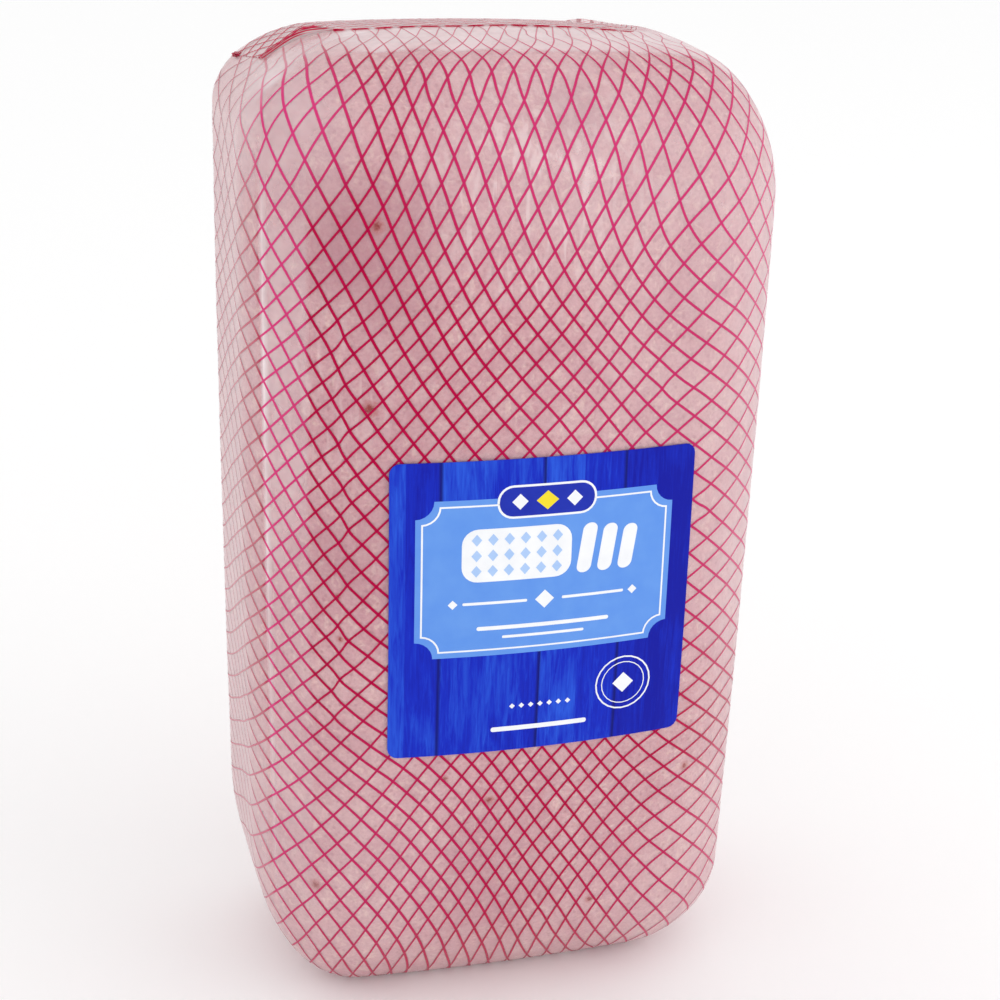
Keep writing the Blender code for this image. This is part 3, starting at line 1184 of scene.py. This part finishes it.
# A shape is its outline in millimetres from the label's middle, its layer,
# and the width of its ring, or 0 where it is filled.
def rounded(centre, size, radius, layer, ring=0, lean=0.0, scooped=False):
    # anticlockwise from the lower left; scooped corners curve inwards
    wide, high = size[0] / 2, size[1] / 2
    steps = 6
    outline = []
    for quarter, (signX, signZ) in enumerate(((-1, -1), (1, -1), (1, 1), (-1, 1))):
        for step in range(steps + 1):
            if scooped:
                angle = math.pi / 2 * (quarter + 1 - step / steps)
                x, z = signX * wide, signZ * high
            else:
                angle = math.pi / 2 * (quarter + 2 + step / steps)
                x, z = signX * (wide - radius), signZ * (high - radius)
            x += radius * math.cos(angle)
            z += radius * math.sin(angle)
            outline.append((centre[0] + x + lean * z, centre[1] + z))
    return outline, layer, ring


def diamond(centre, size, layer):
    x, z = centre
    wide, high = size[0] / 2, size[1] / 2
    return [(x - wide, z), (x, z - high), (x + wide, z), (x, z + high)], layer, 0


def makePrint(name, material, shapes):
    made = []
    middle = labelForm["centre"]
    for outline, layer, ring in shapes:
        deselectAll()
        bpy.ops.mesh.primitive_circle_add(vertices=len(outline), radius=1, fill_type="NGON")
        shape = bpy.context.object
        for vertex, (x, z) in zip(shape.data.vertices, outline):
            vertex.co = (middle[0] + x * millimetre, -farOut, middle[1] + z * millimetre)
        bpy.ops.object.mode_set(mode="EDIT")
        bpy.ops.mesh.select_mode(type="FACE")
        bpy.ops.mesh.select_all(action="SELECT")
        if ring:
            bpy.ops.mesh.inset(thickness=ring * millimetre)
            bpy.ops.mesh.delete(type="FACE")
        for axis, normal in ((0, (1, 0, 0)), (1, (0, 0, 1))):
            places = [point[axis] * millimetre for point in outline]
            for cell in range(1, labelForm["cells"]):
                cut = labelForm["size"][axis] * (cell / labelForm["cells"] - 0.5)
                if min(places) < cut < max(places):
                    place = [0, -farOut, 0]
                    place[2 * axis] = middle[axis] + cut
                    bpy.ops.mesh.select_all(action="SELECT")
                    bpy.ops.mesh.bisect(plane_co=place, plane_no=normal)
        bpy.ops.object.mode_set(mode="OBJECT")
        for vertex in shape.data.vertices:
            before = Vector((vertex.co.x, -farOut, vertex.co.z))
            skin = labelTree.ray_cast(before, Vector((0, 1, 0)))[0]
            vertex.co.y = skin.y - layer * labelForm["layer"]
        made.append(shape)
    deselectAll()
    for shape in made:
        shape.select_set(True)
    bpy.context.view_layer.objects.active = made[0]
    if len(made) > 1:
        bpy.ops.object.join()
    piece = bpy.context.object
    nameBoth(piece, name)
    sheet = piece.modifiers.new("Ink thickness", "SOLIDIFY")
    sheet.thickness = labelForm["layer"] * labelForm["filled"]
    sheet.offset = -1
    makeActive(piece)
    bpy.ops.object.modifier_apply(modifier=sheet.name)
    finishPiece(piece, material, labelForm["smoothAngle"])


plaque = (0.3, 10.9)
stamp = (27.3, -29)
loafHeight = 18.5
ruleHeight = 3
tabHeight = 35
# piece: its ink, the ink's two tones, and its shapes
printForm = {
    "label_plaque": ("Light blue offset ink", "6196EA", "699DEC", [
        rounded(plaque, (80.5, 51), 5.6, 1, scooped=True),
    ]),
    "label_white_print": ("White offset ink", "F2F4F8", "FAFBFD", [
        rounded(plaque, (77, 47.5), 5.4, 2, 0.55, scooped=True),
        # a loaf with three slices
        rounded((-9, loafHeight), (34, 17), 5, 2),
        *[
            rounded(
                (13 + 6.6 * index, loafHeight - 0.4 * index), (4.6, 16 - 0.8 * index),
                2.2, 2, lean=0.14,
            )
            for index in range(3)
        ],
        # a rule with diamonds, and two plain rules
        rounded((-15.5, ruleHeight), (20, 0.9), 0.4, 2),
        diamond((-28.5, ruleHeight), (3, 3), 2),
        rounded((15.5, ruleHeight), (20, 0.9), 0.4, 2),
        diamond((28.5, ruleHeight), (3, 3), 2),
        diamond((0, ruleHeight), (6, 6), 2),
        rounded((0, -5.4), (42, 1.3), 0.6, 2),
        rounded((0, -8.6), (26, 0.9), 0.4, 2),
        # tab over the plaque's upper edge
        rounded((0, tabHeight), (31, 10.5), 5, 2),
        diamond((-8.5, tabHeight), (5, 5), 4),
        diamond((8.5, tabHeight), (5, 5), 4),
        # round seal and two rows below the plaque
        rounded(stamp, (18.6, 18.6), 9.3, 1, 0.5),
        rounded(stamp, (14.6, 14.6), 7.3, 1, 0.3),
        diamond(stamp, (7, 7), 1),
        *[diamond((-9 + 3 * index, -32.8), (1.8, 1.8), 1) for index in range(7)],
        rounded((0, -40.6), (31, 1.6), 0.7, 1),
    ]),
    "label_blue_print": ("Deep blue offset ink", "1A2CA8", "2034B4", [
        rounded((0, tabHeight), (29.6, 9.1), 4.3, 3),
    ]),
    "label_loaf_net": ("Pale blue offset ink", "A9C9F6", "B4D0F8", [
        diamond((-21.5 + 5 * across, loafHeight - 5 + 5 * up), (3.2, 3.8), 3)
        for across in range(6) for up in range(3)
    ]),
    "label_yellow_print": ("Yellow offset ink", "F4DC28", "F8E23A", [
        diamond((0, tabHeight), (7, 6), 4),
    ]),
}
for name, (ink, hexCode, hexOther, shapes) in printForm.items():
    makePrint(name, printMaterial(ink, hexCode, hexOther), shapes)
print("label finished")


studio = {
    "world": {"Color": (1, 1, 1, 1), "Strength": 0.96},
    "key": ((1.9, -1.3, 1.3), (0, 0, 0.15), 2.0, 9),  # place, aim, size, power
    "floorHalf": 6.0,
    "floorDrop": 0.0002,  # keeps the floor clear of the flat base
    "fibreScale": 900.0,
    "fibreBump": {"Strength": 0.05, "Distance": 0.0002},
    "floor": {
        "Base Color": (0.96, 0.96, 0.96, 1), "Roughness": 0.8, "Emission Strength": 0.05,
        "Emission Color": (1, 1, 1, 1),
    },
    "camera": (-0.161294, -0.570433, 0.387856),
    "lens": 69.74,
    "sensor": 36,
    "clip": (0.01, 50),
    "yaw": 0.2812,
    "pitch": 0.363,
    "roll": 0.0264,
}


def makeFloor():
    # Matt white paper, so smooth that its fibres hardly show
    deselectAll()
    place = (0, 0, -studio["floorDrop"])
    bpy.ops.mesh.primitive_plane_add(size=2 * studio["floorHalf"], location=place)
    floor = bpy.context.object
    floor.name = "floor"
    bpy.ops.object.transform_apply(location=True, rotation=True, scale=True)
    material, tree, place = newMaterial("Matt white paper sweep")
    fibres = addNode(tree, "TexNoise", {"Vector": place, "Scale": studio["fibreScale"]})
    bump = addNode(tree, "Bump", {"Height": fibres, **studio["fibreBump"]})
    shader = addNode(tree, "BsdfPrincipled", {"Normal": bump, **studio["floor"]})
    addNode(tree, "OutputMaterial", {"Surface": shader})
    floor.data.materials.append(material)


def addObject(name, data):
    added = bpy.data.objects.new(name, data)
    bpy.context.scene.collection.objects.link(added)
    return added


def addLights():
    world = bpy.data.worlds.new("Studio")
    bpy.context.scene.world = world
    world.use_nodes = True
    for name, value in studio["world"].items():
        world.node_tree.nodes["Background"].inputs[name].default_value = value
    place, aim, size, power = studio["key"]
    data = bpy.data.lights.new("key", "AREA")
    data.shape = "SQUARE"
    data.size = size
    data.energy = power
    lamp = addObject("key", data)
    lamp.location = place
    lamp.rotation_euler = (Vector(aim) - Vector(place)).to_track_quat("-Z", "Y").to_euler()
    lamp.visible_camera = False


def addCamera():
    data = bpy.data.cameras.new("camera")
    data.lens = studio["lens"]
    data.sensor_width = studio["sensor"]
    data.clip_start, data.clip_end = studio["clip"]
    camera = addObject("camera", data)
    turn = Matrix.Rotation(-studio["yaw"], 4, "Z")
    tilt = Matrix.Rotation(math.pi / 2 - studio["pitch"], 4, "X")
    roll = Matrix.Rotation(studio["roll"], 4, "Z")
    camera.matrix_world = Matrix.Translation(studio["camera"]) @ turn @ tilt @ roll
    bpy.context.scene.camera = camera


makeFloor()
addLights()
addCamera()
bpy.context.scene.view_settings.view_transform = "Standard"
print("studio ready")
